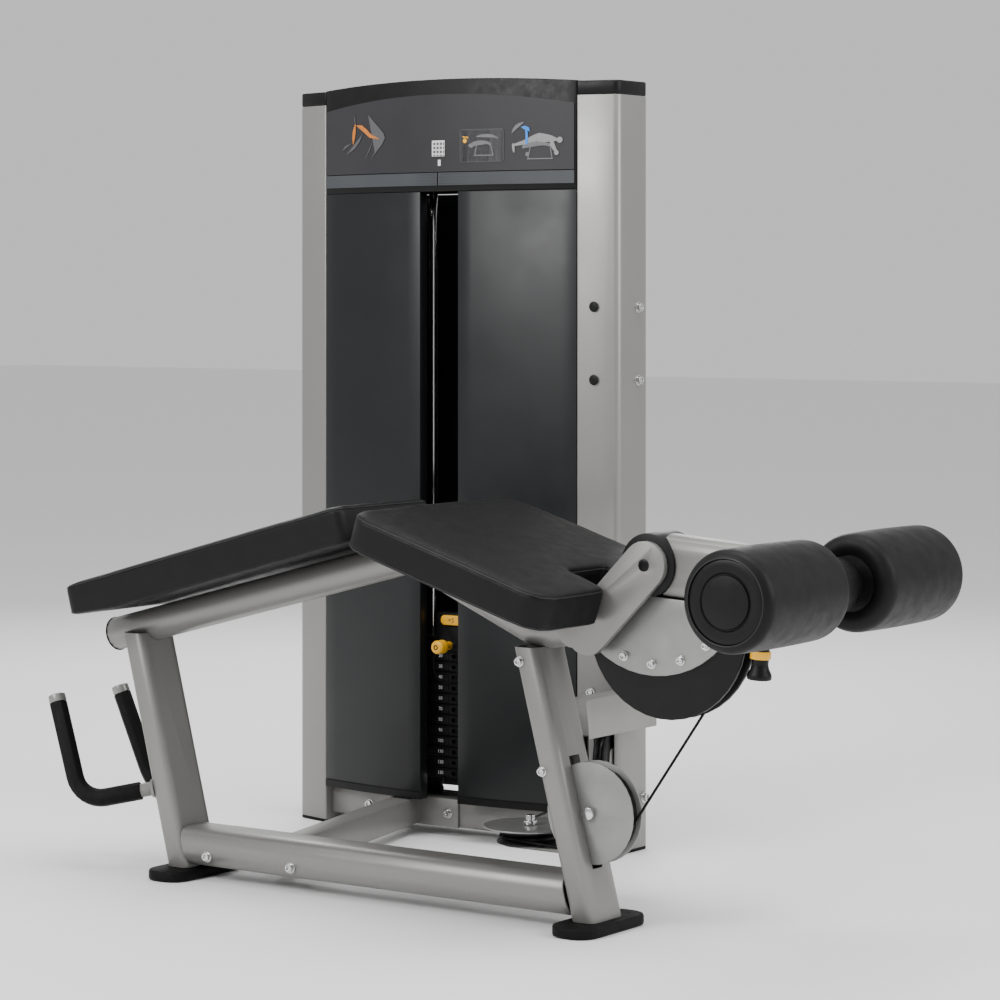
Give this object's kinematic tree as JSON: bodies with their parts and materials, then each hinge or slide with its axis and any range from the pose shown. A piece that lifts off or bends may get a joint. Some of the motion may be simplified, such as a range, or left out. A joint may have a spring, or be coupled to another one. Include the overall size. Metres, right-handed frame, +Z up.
{
  "type": "lying leg curl machine",
  "caption": "Prone leg curl machine: padded bench, swinging arm with two roller pads, cable drive and a shrouded weight stack tower.",
  "frame": {"origin": "centre of the footprint box, on the floor", "axes": "+X along the bench from the head end to the roller end, +Y from the bench to the tower, +Z up"},
  "size_m": [1.7844, 1.133, 1.57],
  "materials": {
    "silver_paint": "satin metallic powder coat",
    "black_vinyl": "upholstery vinyl, fine grain",
    "charcoal_panel": "semi-gloss formed sheet",
    "black_plastic": "moulded, fine texture",
    "black_rubber": "matte",
    "black_steel": "black coat",
    "chrome": "polished",
    "bright_steel": "satin plate",
    "cast_iron": "black paint",
    "yellow_plastic": "moulded"
  },
  "bodies": {
    "frame": {"upright_left": "silver_paint", "upright_right": "silver_paint", "base_beam": "silver_paint", "leg_left": "silver_paint", "leg_right": "silver_paint", "base_tube": "silver_paint", "cross_tube": "silver_paint", "link_tube": "silver_paint", "top_tube": "silver_paint", "pivot_fork": "silver_paint", "floor_pulley_bracket": "silver_paint", "handle_near": "silver_paint", "handle_far": "silver_paint", "head_pad": "black_vinyl", "hip_pad": "black_vinyl", "shield_left": "charcoal_panel", "shield_right": "charcoal_panel", "rear_shield": "charcoal_panel", "upright_cap_left": "black_plastic", "upright_cap_right": "black_plastic", "header_housing": "black_plastic", "upright_foot_left": "black_rubber", "upright_foot_right": "black_rubber", "foot_left": "black_rubber", "foot_right": "black_rubber", "grip_near": "black_rubber", "grip_far": "black_rubber", "drive_cable": "black_rubber", "stack_cable": "black_rubber", "top_crossmember": "black_steel", "pivot_shaft": "black_steel", "guide_rod_left": "chrome", "guide_rod_right": "chrome", "leg_pulley_axle": "chrome", "floor_pulley_axle": "chrome", "leg_pulley_guard_near": "bright_steel", "leg_pulley_guard_far": "bright_steel", "floor_pulley_guard": "bright_steel", "entry_pulley_bracket": "bright_steel", "weight_plates": "cast_iron"},
    "arm": {"arm_tube": "silver_paint", "pivot_hub": "black_steel", "sector_near": "bright_steel", "sector_far": "bright_steel", "cam": "black_plastic", "pin_housing": "bright_steel"},
    "roller_carriage": {"roller_slide": "black_steel"},
    "near_roller": {"roller_near": "black_vinyl"},
    "far_roller": {"roller_far": "black_vinyl"},
    "pull_pin": {"pull_knob": "black_plastic"},
    "lifting_head": {"head_plate": "cast_iron", "selector_rod": "bright_steel", "pin_lanyard": "black_rubber"},
    "weight_pin": {"selector_pin": "yellow_plastic"},
    "increment_tab": {"increment_slider": "yellow_plastic"},
    "leg_wheel": {"leg_pulley": "black_plastic"},
    "floor_wheel": {"floor_pulley": "black_plastic"},
    "entry_wheel": {"entry_pulley": "black_plastic"},
    "top_outer_wheel": {"top_pulley_outer": "black_plastic"},
    "top_centre_wheel": {"top_pulley_centre": "black_plastic"}
  },
  "joints": [
    {"name": "arm_swing", "type": "hinge", "parent": "frame", "child": "arm", "pos_m": [0.46997, -0.2285, 0.657], "axis": [0, -1, 0], "range_deg": [0, 110]},
    {"name": "stack_lift", "type": "slide", "parent": "frame", "child": "lifting_head", "axis": [0, 0, 1], "range_m": [0, 0.425], "deforming": ["stack_cable"]},
    {"name": "roller_adjust", "type": "slide", "parent": "arm", "child": "roller_carriage", "axis": [0.9977, 0, -0.068], "range_m": [0, 0.08]},
    {"name": "near_roller_spin", "type": "hinge", "parent": "roller_carriage", "child": "near_roller", "pos_m": [0.80719, -0.2285, 0.63401], "axis": [0, -1, 0], "continuous": true},
    {"name": "far_roller_spin", "type": "hinge", "parent": "roller_carriage", "child": "far_roller", "pos_m": [0.80719, -0.2285, 0.63401], "axis": [0, -1, 0], "continuous": true},
    {"name": "pull_pin_slide", "type": "slide", "parent": "arm", "child": "pull_pin", "axis": [-0.068, 0, -0.9977], "range_m": [0, 0.012], "stiffness_N_per_m": 900, "springref_m": -0.008},
    {"name": "weight_pin_slide", "type": "slide", "parent": "lifting_head", "child": "weight_pin", "axis": [0, -1, 0], "range_m": [0, 0.07]},
    {"name": "increment_slide", "type": "slide", "parent": "lifting_head", "child": "increment_tab", "axis": [1, 0, 0], "range_m": [0, 0.015]},
    {"name": "leg_wheel_spin", "type": "hinge", "parent": "frame", "child": "leg_wheel", "pos_m": [0.33147, -0.2285, 0.208], "axis": [0, -1, 0], "range_deg": [0, 323.3]},
    {"name": "floor_wheel_spin", "type": "hinge", "parent": "frame", "child": "floor_wheel", "pos_m": [0.15397, -0.1735, 0.1425], "axis": [0, 0, 1], "range_deg": [0, 443]},
    {"name": "entry_wheel_spin", "type": "hinge", "parent": "frame", "child": "entry_wheel", "pos_m": [-0.07153, 0.4185, 0.1925], "axis": [-0.9613, -0.2756, 0], "range_deg": [0, 484.6]},
    {"name": "top_outer_wheel_spin", "type": "hinge", "parent": "frame", "child": "top_outer_wheel", "pos_m": [-0.13503, 0.4665, 1.44], "axis": [0, 1, 0], "range_deg": [0, 484.6]},
    {"name": "top_centre_wheel_spin", "type": "hinge", "parent": "frame", "child": "top_centre_wheel", "pos_m": [-0.40103, 0.4665, 1.44], "axis": [0, 1, 0], "range_deg": [0, 484.6]}
  ],
  "couplings": [
    {"joint": "stack_lift", "follows": "arm_swing", "m_per_rad": 0.22},
    {"joint": "leg_wheel_spin", "follows": "arm_swing", "ratio": 2.9333},
    {"joint": "floor_wheel_spin", "follows": "arm_swing", "ratio": 4.0219},
    {"joint": "entry_wheel_spin", "follows": "arm_swing", "ratio": 4.4},
    {"joint": "top_outer_wheel_spin", "follows": "arm_swing", "ratio": 4.4},
    {"joint": "top_centre_wheel_spin", "follows": "arm_swing", "ratio": 4.4}
  ]
}
